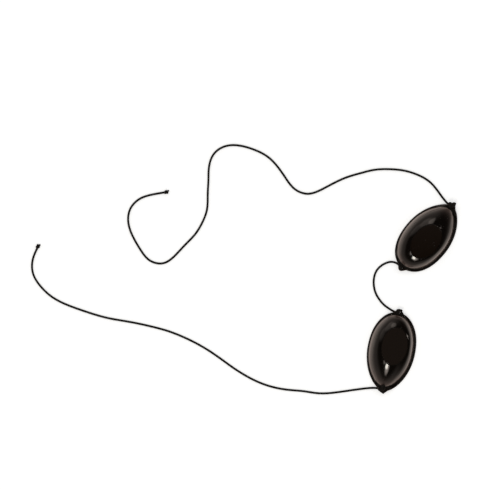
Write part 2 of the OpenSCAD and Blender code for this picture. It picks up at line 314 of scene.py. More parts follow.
CORD_STEP = 0.8          # mm between a cord's rings
nose_line, nose_l = spline(
    np.vstack([outlet(right_nose_hole, RIGHT_NOSE_OUT), on_table(NOSE_ROUTE),
               outlet(left_nose_hole, LEFT_NOSE_OUT)]),
    CORD_STEP, start=heading(RIGHT_NOSE_OUT), end=-heading(LEFT_NOSE_OUT))
right_line, right_l = spline(
    np.vstack([outlet(right_temple_hole, RIGHT_TEMPLE_OUT), on_table(RIGHT_ROUTE)]),
    CORD_STEP, start=heading(RIGHT_TEMPLE_OUT))
left_line, left_l = spline(
    np.vstack([outlet(left_temple_hole, LEFT_TEMPLE_OUT), on_table(LEFT_ROUTE)]),
    CORD_STEP, start=heading(LEFT_TEMPLE_OUT))
print("cords, mm: nose", round(nose_l, 1), "right", round(right_l, 1), "left", round(left_l, 1))

# %% [markdown]
# Materials are built from nodes. Every node is made in the same way: it is set up, its
# sockets are fed, and one of its outputs is led on. What feeds a socket is either a plain
# value or a wire that comes from another node.

# %% A node and what feeds it
def plug(tree, socket, value):
    """Links a wire to a socket, or sets the socket to a plain value."""
    if isinstance(value, Wire):
        tree.links.new(value.socket, socket)
    else:
        socket.default_value = value


def new_node(tree, kind, settings=None, sockets=None, out=0):
    """Any node: its settings are set first, then its sockets are set or linked. Returns a
    wire from one of its outputs."""
    node = tree.nodes.new(kind)
    for name, value in (settings or {}).items():
        setattr(node, name, value)
    for name, value in (sockets or {}).items():
        plug(tree, node.inputs[name], value)
    return Wire(tree, node.outputs[out])


# %% [markdown]
# A shader is easier to read as arithmetic than as a picture of boxes. So a small class
# stands for a wire, and a + b or 1 - mask adds the Math node that it needs.

# %% Shader arithmetic
class Wire:
    """One output socket of a node tree. Each sign between wires, such as + or *, makes one
    Math node, and its output is the new wire."""

    def __init__(self, tree, socket):
        self.tree, self.socket = tree, socket

    def maths(self, operation, *values):
        """A Math node that works out the operation on these values or wires."""
        return new_node(self.tree, "ShaderNodeMath", {"operation": operation}, dict(enumerate(values)))

    def __add__(self, other):
        return self.maths("ADD", self, other)

    def __sub__(self, other):
        return self.maths("SUBTRACT", self, other)

    def __rsub__(self, other):
        return self.maths("SUBTRACT", other, self)

    def __mul__(self, other):
        return self.maths("MULTIPLY", self, other)

    def __pow__(self, other):
        return self.maths("POWER", self, other)

    __radd__, __rmul__ = __add__, __mul__

    def sine(self):
        """sin x, with x in radians."""
        return self.maths("SINE", self)

    def size(self):
        """|x|, the value without its sign."""
        return self.maths("ABSOLUTE", self)

    def ramp(self, low, high):
        """0 below low, 1 above high and a smooth rise between them."""
        return new_node(self.tree, "ShaderNodeMapRange", {"interpolation_type": "SMOOTHSTEP"},
                        dict(enumerate((self, low, high, 0.0, 1.0))))


# %% [markdown]
# The second class holds a node tree while it is built. The few nodes that come up again
# and again, such as noise and bump, have a short method each.

# %% Building a node tree
class Shader:
    """A material's or the world's node tree, emptied and ready to be built."""

    def __init__(self, owner):
        owner.use_nodes = True
        self.owner, self.tree = owner, owner.node_tree
        self.tree.nodes.clear()

    def node(self, kind, settings=None, sockets=None, out=0):
        """Any node of this tree, as new_node makes it."""
        return new_node(self.tree, kind, settings, sockets, out)

    def mix(self, mask, low, high):
        """A colour that goes from low to high with the mask."""
        return self.node("ShaderNodeMix", {"data_type": "RGBA"}, {0: mask, 6: low, 7: high}, out=2)

    def noise(self, where, scale, detail=2.0, rough=0.5):
        """Cloudy noise about 0.5, with scale lumps to each unit of where."""
        return self.node("ShaderNodeTexNoise", None,
                         {"Vector": where, "Scale": scale, "Detail": detail, "Roughness": rough})

    def bump(self, height, depth, normal=None):
        """A normal for a relief whose height of 1 stands depth metres proud."""
        sockets = {"Height": height, "Distance": depth, "Strength": 1.0}
        if normal is not None:
            sockets["Normal"] = normal
        return self.node("ShaderNodeBump", None, sockets)

    def end(self, kind, surface):
        """The tree's output node, fed with the surface."""
        node = self.tree.nodes.new(kind)
        plug(self.tree, node.inputs["Surface"], surface)


def rgb(red, green, blue):
    """A colour in linear light, as a socket wants it."""
    return (red, green, blue, 1.0)


# %% [markdown]
# The cups are moulded in a smoked plastic that is nearly black where it is thick. Where
# light gets into the thin foot of the wall it glows a warm brown, and that glow is painted
# light: a warm colour painted into the foot of the wall. Its polish is not perfect: the
# mould leaves a slight waviness, handling leaves hair-thin scratches, and a few specks of
# dust settle. All of it is far too small to model, so it goes into the colour, the
# roughness and the bump.

# %% How fine the plastic's patterns are
HAIR = (15 * MM, 0.42 * MM, 15 * MM)     # m, the stretch of noise that a scratch is cut from
HAIR_TURNS = (35, 0.71), (64, 0.69), (98, 0.73), (160, 0.75)    # degrees, and how rare they are
HAIR_LEAN = (0.3, 0.2)   # radians that the noise leans off the flat
HAIR_EDGE = 0.06         # the rise of the noise over which a scratch starts
CLOUDS, WAVES, GRAIN = 90.0, 160.0, 900.0    # per metre, how fine each pattern is
SPECKS, DUSTY_AREAS = 420.0, 150.0           # per metre
SPECK_EDGE = (0.05, 0.11)                    # distance from a speck's middle, in Voronoi cells
DUSTY_EDGE = (0.56, 0.62)                    # the noise at which dust starts to lie
GRAIN_DEPTH = 0.0015     # mm
DUST_COLOR = (0.12, 0.11, 0.10)
PLASTIC_IOR = 1.49       # that of acrylic
print("scratches, mm:", round(HAIR[0] / MM, 2), "by", round(HAIR[1] / MM, 2))

# %% [markdown]
# A scratch is where the surface cuts a thin sheet of noise, 15 mm across and 0.42 mm
# thick, and only the noise's peaks count. Four sets of sheets, each turned its own way,
# make the scratches cross. Specks of dust are the middles of Voronoi cells, and a coarser
# noise keeps most areas clean.

# %% Smoked plastic
def smoked_plastic(name, deep, painted_glow, roughness, wave):
    """Polished plastic. deep is its colour where it is thick. The second colour is painted
    light, the warm glow of light shining through thin plastic, painted into the colour as
    the attribute lit says. wave is the depth of its waviness in mm."""
    made = Shader(bpy.data.materials.new(name))
    place = made.node("ShaderNodeTexCoord", out="Object")
    lit = made.node("ShaderNodeAttribute", {"attribute_name": "lit"}, out="Fac")
    cloudy = made.noise(place, CLOUDS, detail=3.0)
    # Painted light: the second colour, a warm glow of light through thin plastic, is painted in where lit
    # is high
    body = made.mix(lit * (0.75 + cloudy * 0.5), rgb(*deep), rgb(*painted_glow))

    scratches = 0.0
    for turn, rarest in HAIR_TURNS:
        laid = made.node("ShaderNodeMapping", {"vector_type": "TEXTURE"},
                         {"Vector": place, "Rotation": (*HAIR_LEAN, radians(turn)), "Scale": HAIR})
        scratches = made.noise(laid, 1.0, detail=1.0).ramp(rarest, rarest + HAIR_EDGE) + scratches
    specks = made.node("ShaderNodeTexVoronoi", None, {"Vector": place, "Scale": SPECKS}, out="Distance")
    dust = (1.0 - specks.ramp(*SPECK_EDGE)) * made.noise(place, DUSTY_AREAS).ramp(*DUSTY_EDGE)

    color = made.mix(dust * 0.3, body, rgb(*DUST_COLOR))
    # Clouds, scratches and dust each add their share of roughness
    rough = roughness + cloudy * 0.05 + scratches * 0.16 + dust * 0.3
    soft_bump = made.bump(made.noise(place, WAVES, detail=1.0), wave * MM)
    fine = made.noise(place, GRAIN) - scratches * 0.5 + dust
    fine_bump = made.bump(fine, GRAIN_DEPTH * MM, normal=soft_bump)
    surface = made.node("ShaderNodeBsdfPrincipled", None,
                        {"Base Color": color, "Roughness": rough, "Normal": fine_bump,
                         "IOR": PLASTIC_IOR})
    made.end("ShaderNodeOutputMaterial", surface)
    return made.owner


# The second colour of each plastic is painted light, a warm glow painted where light would shine through
# the thin wall
cup_plastic = smoked_plastic("cup_plastic", deep=(0.0034, 0.0024, 0.0017), painted_glow=(0.13, 0.092, 0.078),
                             roughness=0.07, wave=0.012)
lens_plastic = smoked_plastic("lens_plastic", deep=(0.0054, 0.0026, 0.0011), painted_glow=(0.03, 0.02, 0.01),
                              roughness=0.05, wave=0.004)
print("plastics, nodes each:", [len(made.node_tree.nodes) for made in (cup_plastic, lens_plastic)])

# %% [markdown]
# Round elastic cord is a rubber core in a tight polyester braid. Each strand of the braid
# winds round the core, half of them one way and half the other, and they pass over and
# under each other in small diamonds. The pattern reads the tube's own map, in millimetres
# along and turns round, so that it bends with the cord and meets itself at the seam.

# %% Braided cord
BRAID_PITCH = 2.2        # mm along the cord for a strand's quarter turn
BRAID_STRANDS = 8        # strands each way
BRAID_DEPTH = 0.06       # mm, from the top of a strand to the groove beside it
CROSSING = 0.25          # how softly a strand goes under the next
FIBRES, WORN_AREAS = 2600.0, 60.0       # per metre, how fine each pattern is
CORD_ROUGHNESS, CORD_SHEEN = 0.62, 0.06


def braided_cord(name, dark, light):
    """Braid of two families of strands, from sines of u and v. Where the product of the
    two is positive one family lies on top, and elsewhere the other. The colour goes from
    dark in the grooves to light on the strands' tops, which is painted shade and painted
    sheen."""
    made = Shader(bpy.data.materials.new(name))
    where = made.node("ShaderNodeUVMap", {"uv_map": "braid"})
    split = made.node("ShaderNodeSeparateXYZ", None, {"Vector": where}, out="X")
    round_it = made.node("ShaderNodeSeparateXYZ", None, {"Vector": where}, out="Y")
    along = split * (2 * pi / BRAID_PITCH)
    turn = round_it * (2 * pi * BRAID_STRANDS / 2)
    one_way, other_way = (along + turn).sine(), (along - turn).sine()
    over = (one_way * other_way).ramp(-CROSSING, CROSSING)
    strand = over * one_way.size() + (1.0 - over) * other_way.size()
    relief = strand.ramp(0.0, 0.9)

    place = made.node("ShaderNodeTexCoord", out="Object")
    fibres = made.noise(place, FIBRES, detail=3.0, rough=0.7)
    worn = made.noise(place, WORN_AREAS)
    # Painted shade and sheen: the grooves between strands are painted darker and the tops
    # lighter, and the fibres mottle it
    groove_shade_and_fibres = relief * 0.65 + fibres * 0.35
    color = made.mix(groove_shade_and_fibres * (0.7 + worn * 0.6), rgb(*dark), rgb(*light))
    rough = CORD_ROUGHNESS + fibres * 0.25
    normal = made.bump(relief + fibres * 0.35, BRAID_DEPTH * MM)
    surface = made.node("ShaderNodeBsdfPrincipled", None,
                        {"Base Color": color, "Roughness": rough, "Normal": normal,
                         "Specular IOR Level": CORD_SHEEN})
    made.end("ShaderNodeOutputMaterial", surface)
    return made.owner


# dark is the painted shade in the braid's grooves and light the painted sheen on its strands' tops
cord_braid = braided_cord("cord_braid", dark=(0.0018, 0.0016, 0.0014), light=(0.0165, 0.014, 0.012))
print("braid, nodes:", len(cord_braid.node_tree.nodes))

# %% [markdown]
# The cords come next, before the cups, because the table has to hold all of their length.
# Each is a tube along its spline.

# %% Cords
CORD_SIDES = 14


def braided_piece(name, line, radius, sides):
    """A closed tube along the line in the braid's material, with the map that it reads."""
    piece = ring_mesh(name, tube(line, radius, sides))
    lengthwise_map(piece, line, sides)
    piece.data.materials.append(cord_braid)
    return piece


nose_cord = braided_piece("elastic_over_nose", nose_line, CORD_R, CORD_SIDES)
right_cord = braided_piece("elastic_right_side", right_line, CORD_R, CORD_SIDES)
left_cord = braided_piece("elastic_left_side", left_line, CORD_R, CORD_SIDES)
print("cords, faces each:", [len(cord.data.polygons) for cord in (nose_cord, right_cord, left_cord)])

# %% [markdown]
# Each cord is knotted above the ear that it comes up through, and the long ones again at
# their free ends. A simple overhand knot is the long trefoil, whose three coordinates are
# plain polynomials of one parameter. Scaled down until its strands touch, it gives the
# lump, the crossing strands and the two ways out of a real knot. Its width may be
# negative, which gives the mirror image, the same knot tied the other way round.

# %% The overhand knot
KNOT_STEP = 0.12         # mm between a knot's rings
KNOT_SIDES = 16
EAR_Z, EAR_T = 1.95, 1.4         # mm, an ear's underside and its thickness
EAR_TOP = EAR_Z + EAR_T
STRAND_R = 0.66          # mm, the cord's radius inside the tightest knot
KNOT_L, KNOT_LIFT = 2.7, 1.3     # mm, its length and how far its strands rise over one another
KNOT_POINTS = 19         # points of the trefoil that the spline goes through
TREFOIL_END = 1.95       # the trefoil's parameter where a knot starts and ends
TREFOIL_HALF = (3.8, 2.0, 0.4)   # half its own length and width, and the unit of its lift


def overhand(length, width, height):
    """Overhand knot on its flat side, from the long trefoil (t^3 - 3t, t^4 - 4t^2,
    t^5 / 5 - 2t) for t from -1.95 to 1.95. Its two odd coordinates are nearly alike, so
    their sum is its length, and their difference lifts one strand over the other."""
    t = np.linspace(-TREFOIL_END, TREFOIL_END, KNOT_POINTS)
    first, second, third = t ** 3 - 3 * t, t ** 4 - 4 * t ** 2, t ** 5 / 5 - 2 * t
    trefoil = np.stack([first + third, second + 2, first - third], -1)
    return trefoil / TREFOIL_HALF * (length, width, height) / 2


def left_of(ahead):
    """The way on the table that is a quarter turn to the left of ahead."""
    return np.array([-ahead[1], ahead[0], 0.0])


def set_down(local, middle, ahead):
    """Rows of (along, sideways, up) placed at a point of the part, the knot's length
    pointing the way that ahead does."""
    return middle + local @ np.stack([ahead, left_of(ahead), (0.0, 0.0, 1.0)])


# %% [markdown]
# The soft cord is squeezed thinner inside a knot that has been pulled tight, and it swells
# in one that was left loose. So the strands get their radius from the knot's size, and
# the cord eases back to its own radius on both sides of the lump.

# %% A knot's tube
TIGHT_REACH = 1.4        # mm from the middle of the tightest knot that its strands stay thin
EASE_L = 1.2             # mm over which they regain the cord's own radius


def eased(x):
    """0 below 0, 1 above 1 and between them the smooth rise 3 k^2 - 2 k^3."""
    k = np.clip(x, 0, 1)
    return k * k * (3 - 2 * k)


def squeezed(line, middle, size):
    """Radius along a knot's line: STRAND_R * size within TIGHT_REACH * size of the knot's
    middle, and eased from there to the cord's own."""
    off = np.linalg.norm(line - middle, axis=1)
    strand_r = STRAND_R * size
    return strand_r + (CORD_R - strand_r) * eased((off - TIGHT_REACH * size) / EASE_L)


def knot_piece(name, points, start, middle, size):
    """A knot's cord through the points, squeezed near its middle. size is 1 for the
    tightest knot."""
    line, _ = spline(points, KNOT_STEP, start=start)
    return braided_piece(name, line, squeezed(line, middle, size), KNOT_SIDES)


# %% [markdown]
# At an ear the cord comes in along the table, bends up through the hole and is knotted on
# top, which keeps it from slipping back. At a free end the knot lies on the table and
# only keeps the braid from fraying. No two knots are alike, so each has its own size,
# turn and lean, which are those seen in the photograph.

# %% Knots on the ears and at the ends
BEND_POINTS = 4          # given points on the bend under an ear
STEM_Z = EAR_TOP - 0.5   # mm, where the cord stands upright in the hole
TAIL_BEND = 0.7          # the share of a tail's length at which it is highest
TAIL_Z, TAIL_END_Z = EAR_TOP + 1.5, EAR_TOP + 1.35    # mm, its height there and at its end
END_L, END_W, END_LIFT = 1.9, 1.7, 1.3   # mm, the knot at a free end
END_START, END_AHEAD = 0.4, 1.6          # mm from the cord's end to its start and its middle
END_Z = 0.55                             # mm, its middle above the cord's
END_TAIL = (2.9, 0.5, 0.35), (3.3, 0.8, 0.0)     # mm ahead, aside and up from the cord's end


def ear_knot(name, hole, out, tail_way, tail_l, size, spread, lie, lean=(0, 0)):
    """The cord turns up under the ear, passes the hole, is knotted on top and ends in a
    short cut tail. The knot's size is 1 for the tightest, spread is its width, and it
    lies along a way of its own and may lean off its hole."""
    base = np.array([*hole, 0.0])
    bend = [base + heading(out) * ELBOW_R * (1 - sin(a)) + (0, 0, CORD_R + ELBOW_R * (1 - cos(a)))
            for a in np.linspace(0, pi / 2, BEND_POINTS)]
    stem = [base + (0, 0, STEM_Z)]
    height = KNOT_LIFT * size
    middle = base + (*lean, EAR_TOP + STRAND_R * size + height / 2)
    body = set_down(overhand(KNOT_L * size, spread * size, height), middle, lie)
    tail = [base + tail_way * tail_l * TAIL_BEND + (0, 0, TAIL_Z),
            base + tail_way * tail_l + (0, 0, TAIL_END_Z)]
    return knot_piece(name, np.vstack([bend, stem, body, tail]), -heading(out), middle, size)


def end_knot(name, line, tail_side):
    """The same knot at a cord's free end, lying on the table. Its cut tail stands out to
    the left of the cord's way, or to the right where tail_side is -1."""
    last = line[-1]
    ahead = unit(last - line[-3])
    aside = left_of(ahead) * tail_side
    middle = last + ahead * END_AHEAD + (0, 0, END_Z)
    body = set_down(overhand(END_L, END_W * tail_side, END_LIFT), middle, ahead)
    tail = [last + ahead * on + aside * off + (0, 0, up) for on, off, up in END_TAIL]
    return knot_piece(name, np.vstack([last, last + ahead * END_START, body, tail]), ahead, middle, 1.0)


# %% [markdown]
# Three of the tails on the ears point straight off their cup, and the left nose knot's
# points aslant. The right temple's knot has a negative spread, so it is tied the other
# way round.

# %% Six knots
LEFT_NOSE_TAIL = 30      # degrees from +X


def way_out(nose_hole, temple_hole):
    """Unit vector from a cup's nose hole to its temple hole."""
    return unit(np.array([*(temple_hole - nose_hole), 0.0]))


right_way = way_out(right_nose_hole, right_temple_hole)
left_way = way_out(left_nose_hole, left_temple_hole)
right_nose_knot = ear_knot("knot_right_nose", right_nose_hole, RIGHT_NOSE_OUT, -right_way,
                           tail_l=2.3, size=1.2, spread=1.35, lie=heading(281), lean=(-0.9, 0.7))
left_nose_knot = ear_knot("knot_left_nose", left_nose_hole, LEFT_NOSE_OUT, heading(LEFT_NOSE_TAIL),
                          tail_l=2.5, size=1.15, spread=1.4, lie=heading(81), lean=(-0.9, -0.1))
right_temple_knot = ear_knot("knot_right_temple", right_temple_hole, RIGHT_TEMPLE_OUT, right_way,
                             tail_l=3.8, size=1.45, spread=-1.6, lie=heading(0), lean=(-0.4, 1.5))
left_temple_knot = ear_knot("knot_left_temple", left_temple_hole, LEFT_TEMPLE_OUT, left_way,
                            tail_l=2.8, size=1.5, spread=1.4, lie=heading(220), lean=(-1.1, 0.9))
right_end_knot = end_knot("knot_right_end", right_line, 1)
left_end_knot = end_knot("knot_left_end", left_line, -1)
print("knots, faces each:", [len(knot.data.polygons) for knot in (
    right_nose_knot, left_nose_knot, right_temple_knot, left_temple_knot, right_end_knot, left_end_knot)])

# %% [markdown]
# The long cords ride with the joint that lets them swivel in their ears. The nose cord
# bends between the two cups and is fixed where it lies.

# %% Cords on their bodies
for piece, body, node in (
        (right_cord, "right_head_cord", "right_head_cord"),
        (left_cord, "left_head_cord", "left_head_cord"),
        (right_nose_knot, "nose_cord", "right_nose_knot"),
        (left_nose_knot, "bridge_end", "left_nose_knot"),
        (right_temple_knot, "right_head_cord", "right_temple_knot"),
        (left_temple_knot, "left_head_cord", "left_temple_knot"),
        (right_end_knot, "right_head_cord", "right_end_knot"),
        (left_end_knot, "left_head_cord", "left_end_knot")):
    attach(piece, body)
    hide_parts(node)

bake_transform(nose_cord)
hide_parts("nose_cord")

# %% [markdown]
# A cord's mesh only shows how it happens to lie.


# %% [markdown]
# A cup is one skin. Followed at any station round the eye, it starts at the flat foot
# that rests on the face, goes out along the underside of a narrow flange, round the
# flange's edge and back, up a wall that starts steep and eases over a shoulder, over the
# lip of the lens's seat, and down the inside again. Both ends of the cup are drawn by
# their own curve: blunt towards the nose, pointed at the temple.

# %% Sizes of a cup
# All in millimetres, apart from angles, exponents and shares
CUP_HALF_W, CUP_NOSE_L, CUP_TEMPLE_L = 16.4, 26.1, 28.3     # the wall's foot, from its widest station
FOOT_OFF = 0.4                   # the wall off the flange's middle line, to the cheek
WALL_T, DOME_H = 1.2, 9.8        # the wall at its foot, and the lens's middle above the table
FLANGE_W, FLANGE_NOSE_W, FLANGE_TEMPLE_W = 1.45, 2.2, 3.4   # along the sides and at the two ends
FLANGE_T, FLANGE_Z = 1.2, 0.3    # its thickness, and its underside along the sides
LIFT_START, LIFT_L, FLANGE_SINK = 6.4, 6.0, 0.1             # its rise into the two ears
EAR_R, EAR_ROOT_HALF_W = 2.4, 5.6                           # an ear's tip, and half its root
HOLE_R, NOSE_HOLE_OUT, TEMPLE_HOLE_OUT = 0.9, 2.5, 2.3      # the holes, and how far off the foot
LENS_HALF_L, LENS_HALF_W, LENS_T = 14.1, 9.6, 1.2
LENS_NOSE_OFF, LENS_BROW_OFF = 2.3, 1.7                     # its middle, to the nose and the brow
LENS_NOSE_TILT, LENS_BROW_TILT = radians(3.0), radians(5.0)     # lower at the nose and the brow
LEDGE_W, LEDGE_T, LENS_GAP = 1.3, 0.9, 0.08                 # the ledge under it, and its clearance
NOSE_BLUNTNESS, TEMPLE_POINT, CHEEK_POINT = 2.25, 0.625, 0.58   # exponents of the outlines
TEMPLE_THICKER = 1.6             # times WALL_T, the wall's foot at the pointed end
SHOULDER_SLOPE, SHOULDER_REACH = radians(15.0), 0.42
OUTER_FORM, INNER_FORM = (2.0, 1.3, 1.0), (0.9, 1.2, 0.5)   # as the function wall takes them
print("cup over its flange, mm:", round(CUP_NOSE_L + FLANGE_NOSE_W + CUP_TEMPLE_L + FLANGE_TEMPLE_W, 1),
      "by", round(2 * (CUP_HALF_W + FLANGE_W), 1))

# %% [markdown]
# A cup's outline is the same kind of curve at every level, only with other half lengths,
# so one function serves the wall's foot, the hollow's foot and the flange's edge. It is
# worked out for 320 stations at once, and every ring of the cup has one point at each.

# %% Outlines of the cup and its flange
STATIONS = 320
station = np.arange(STATIONS) * 2 * pi / STATIONS


def almond(angle, half_w, nose_l, temple_l, cheek_point=TEMPLE_POINT):
    """Outline of a cup at an angle, +X to the temple and +Y to the brow. Towards the nose
    it is the curve |x / l|^2.25 + |y / w|^2 = 1, and towards the temple
    y = w (1 - (x / l)^2)^p, with p = 0.625 unless the cheek's side has its own."""
    c, s = np.cos(angle), np.sin(angle)
    nose = np.sqrt(np.clip(1 - np.clip(-c, 0, 1) ** NOSE_BLUNTNESS, 0, 1))
    temple = np.clip(1 - c * c, 0, 1) ** np.where(s < 0, cheek_point, TEMPLE_POINT)
    return np.stack([np.where(c < 0, nose_l, temple_l) * c,
                     half_w * np.sign(s) * np.where(c < 0, nose, temple)], -1)


def wall_outline(out, temple_out):
    """Outline of the wall's foot, moved out by one distance, and by another at the temple."""
    return almond(station, CUP_HALF_W + out, CUP_NOSE_L + out, CUP_TEMPLE_L + temple_out,
                  CHEEK_POINT) - (0, FOOT_OFF)


def flange(inset):
    """Outline of the flange, drawn in by the inset."""
    return almond(station, CUP_HALF_W + FLANGE_W - inset, CUP_NOSE_L + FLANGE_NOSE_W - inset,
                  CUP_TEMPLE_L + FLANGE_TEMPLE_W - inset)


foot = wall_outline(0, 0)
inner_foot = wall_outline(-WALL_T, -TEMPLE_THICKER * WALL_T)
past_end = np.maximum(-foot[:, 0] - (CUP_NOSE_L - LIFT_START), foot[:, 0] - (CUP_TEMPLE_L - LIFT_START))
under = FLANGE_Z + (EAR_Z + FLANGE_SINK - FLANGE_Z) * eased(past_end / LIFT_L)
print("flange's underside, mm: from", round(under.min(), 2), "to", round(under.max(), 2))

# %% [markdown]
# The lens is a plain oval that lies tilted in the cup, a little lower at the nose end and
# on the brow side. The lip, the seat and the window below it are rings of the same oval,
# so they are drawn flat and turned together.

# %% The lens's frame in the cup
def at_height(flat, z):
    """Flat points given a height, the same for all or one for each."""
    return np.concatenate([flat, np.broadcast_to(z, len(flat))[:, None]], -1)


def in_cup(local):
    """Points of the lens's own frame turned by its two tilts and put where it sits."""
    a, b = -LENS_BROW_TILT, -LENS_NOSE_TILT
    x, y, z = local[..., 0], local[..., 1], local[..., 2]
    y, z = y * cos(a) - z * sin(a), y * sin(a) + z * cos(a)
    x, z = x * cos(b) + z * sin(b), z * cos(b) - x * sin(b)
    return np.stack([x - LENS_NOSE_OFF, y + LENS_BROW_OFF, z + DOME_H], -1)


def oval(grow, z):
    """The lens's outline, grown by a margin, at a height in its own frame."""
    return np.stack([(LENS_HALF_L + grow) * np.cos(station), (LENS_HALF_W + grow) * np.sin(station),
                     np.full(STATIONS, z)], -1)


# %% [markdown]
# The wall is what the reflections show best. A band of the bright horizon lies in its
# steep foot and turns dark over the shoulder, so the shape of the curve from foot to lens
# decides where the band ends. A cubic curve in the plane of each station gives it.

# %% The wall's curve
def bezier(a, b, c, d, k):
    """Cubic curve from a to d, leaving a towards b and reaching d from c."""
    return a * (1 - k) ** 3 + 3 * b * k * (1 - k) ** 2 + 3 * c * k * k * (1 - k) + d * k ** 3


def wall(start, top, z0, form, k):
    """Ring of a wall at k, from 0 at its foot to 1 at the lens. In the plane of each
    station it is a cubic curve. It reaches the lens at a share form[2] of the shoulder's
    slope, and leaves the foot towards a point form[0] further in, which lies form[1] times
    as far below the lens as that slope, drawn straight, would put it."""
    span = top[:, :2] - start
    d = np.linalg.norm(span, axis=1)
    rise = top[:, 2] - z0
    slope = form[2] * SHOULDER_SLOPE
    reach = SHOULDER_REACH * d
    climb = rise - (d - form[0]) * tan(slope) * form[1]
    inwards = bezier(0, form[0], d - reach * cos(slope), d, k)
    upwards = bezier(0, climb, rise - reach * sin(slope), rise, k)
    return at_height(start + span * (inwards / d)[:, None], z0 + upwards)


# %% [markdown]
# The corners that a mould rounds are drawn as short curves between the rings on either
# side of them: the flange's edge is a half circle, the wall meets the flange in a small
# hollow, and the lip round the lens has a fine bevel that catches the light.

# %% From the foot round the flange
FOOT_ROUND, EDGE_ROUND, HOLLOW = 0.25, 0.55, 0.3     # mm
FOOT_RINGS, EDGE_RINGS, CORNER_RINGS = 4, 12, 6


def corner(a, sharp, b, count):
    """Rings on the quadratic curve from ring a to ring b that leans to the sharp corner."""
    k = np.linspace(0, 1, count)[:, None, None]
    return a * (1 - k) ** 2 + 2 * sharp * k * (1 - k) + b * k * k


def flange_rings(top, wall_start):
    """Rings from the foot's corner out along the flange's underside, round its edge and
    back on top, through the hollow, to the ring where the wall starts."""
    foot_corner = corner(at_height(foot + unit(inner_foot - foot) * FOOT_ROUND, 0.0),
                         at_height(foot, 0.0), at_height(foot, FOOT_ROUND), FOOT_RINGS)
    middle = under + FLANGE_T / 2
    edge = [at_height(flange(EDGE_ROUND * (1 - cos(a))), middle + FLANGE_T / 2 * sin(a))
            for a in np.linspace(-pi / 2, pi / 2, EDGE_RINGS)]
    hollow = corner(at_height(wall_outline(HOLLOW, HOLLOW), top), at_height(foot, top), wall_start,
                    CORNER_RINGS)
    return [*foot_corner, at_height(foot, under), *edge, *hollow]


# %% [markdown]
# Now the rings can be put in order, from the foot over the wall and the lens's seat and
# down the inside. Light only gets through the thin foot of the wall, and that light is
# painted into the colour, so each ring also carries how much painted glow it gets.

# %% A cup's skin
LIP_ROUND = 0.2          # mm
WALL_RINGS, INNER_RINGS = 44, 14
WALL_START, LIP_START = 0.045, 0.97      # shares of the wall's curve where its corners end
# LIT_FADE shapes the painted glow, painted light in the wall's colour
LIT_FADE = 5             # how fast the light in the wall fades from its foot


def cup_skin():
    """All rings of a cup, shaped (rings, stations, 3), in its own frame, and for each ring
    how much painted glow its colour gets, standing in for light that gets through the
    plastic: 1 at the foot of the wall, 0 at the lens and on the thick flange."""
    top = under + FLANGE_T
    lens_lip = in_cup(oval(LENS_GAP, 0.0))
    window = in_cup(oval(LENS_GAP - LEDGE_W, -LENS_T - LEDGE_T))
    outer = [wall(foot, lens_lip, top, OUTER_FORM, k) for k in np.linspace(WALL_START, 1, WALL_RINGS)]
    low, wall_rings = flange_rings(top, outer[0]), outer[1:-2]
    lip = corner(wall(foot, lens_lip, top, OUTER_FORM, LIP_START), lens_lip,
                 in_cup(oval(LENS_GAP, -LIP_ROUND)), CORNER_RINGS)
    seat = [in_cup(oval(LENS_GAP, -LENS_T)), in_cup(oval(LENS_GAP - LEDGE_W, -LENS_T))]
    inner = [wall(inner_foot, window, 0.0, INNER_FORM, k) for k in np.linspace(1, 0, INNER_RINGS)]
    high = [*lip, *seat, *inner]
    fade = np.linspace(1, 0, len(wall_rings)) ** LIT_FADE
    lit = np.concatenate([np.zeros(len(low)), fade, np.zeros(len(high))])
    return np.stack([*low, *wall_rings, *high]), lit


# %% [markdown]
# The cup is drawn once, with the brow on its left as seen from the nose. Its two holes
# fix its place and its turn on the table, and the right cup is its mirror image.

# %% A cup's place on the table
HOLES = {"right": (right_nose_hole, right_temple_hole), "left": (left_nose_hole, left_temple_hole)}


def place_cup(local, side):
    """Points of a cup's own frame put on the table, its two holes where that side's are.
    The right cup is mirrored."""
    nose_hole, temple_hole = HOLES[side]
    ahead = unit(temple_hole - nose_hole)
    turn = atan2(ahead[1], ahead[0])
    middle = nose_hole + ahead * (CUP_NOSE_L + NOSE_HOLE_OUT)
    x, y, z = local[..., 0], local[..., 1] * (-1 if side == "right" else 1), local[..., 2]
    return np.stack([middle[0] + x * cos(turn) - y * sin(turn),
                     middle[1] + x * sin(turn) + y * cos(turn), z], -1)


# %% [markdown]
# An ear is a flat tab with a round hole. Seen from the hole it has one edge in every
# direction, so it is a ring-shaped surface: the parameter round the hole meets a
# cross-section that goes from the hole's wall over the top, round the outer edge and back
# underneath. Its outer edge is a round tip whose two tangents run to the cup.

# %% An ear's outline
EAR_TURNS = 160          # directions round the hole
EAR_ROOT_IN, EAR_PLATE_IN = 0.5, 0.7 * WALL_T    # mm that its sides and its end run into the wall
TINY = 1e-3              # the least cosine or sine that a distance is divided by


def ear_outline(hole_out):
    """The directions, and the distance from the hole to the ear's edge in each: the tip's
    radius r, the straight side at r / cos(direction - tangent point) where it is further,
    or the root inside the wall."""
    turn = np.arange(EAR_TURNS) * 2 * pi / EAR_TURNS
    root_x = -hole_out - EAR_ROOT_IN
    root_d = hypot(root_x, EAR_ROOT_HALF_W)
    tangent = atan2(EAR_ROOT_HALF_W, root_x) - np.arccos(EAR_R / root_d)
    apart = np.abs((turn + pi) % (2 * pi) - pi)
    side = EAR_R / np.maximum(np.cos(apart - tangent), TINY)
    side = np.where(apart > tangent, side, EAR_R)
    behind = (hole_out + EAR_PLATE_IN) / np.maximum(-np.cos(turn), TINY)
    wide = EAR_ROOT_HALF_W / np.maximum(np.abs(np.sin(turn)), TINY)
    return turn, np.minimum(np.minimum(side, behind), wide)


# %% [markdown]
# The cross-section has four corners, each a quarter circle. The first two stand at the
# hole's radius, which is the same all round, and the last two at the outline's distance,
# which changes with the direction.

# %% An ear's skin
EAR_EDGE = 0.42          # mm, rounding of the ear's outer edges
HOLE_EDGE = 0.22         # mm, rounding of the hole's rims


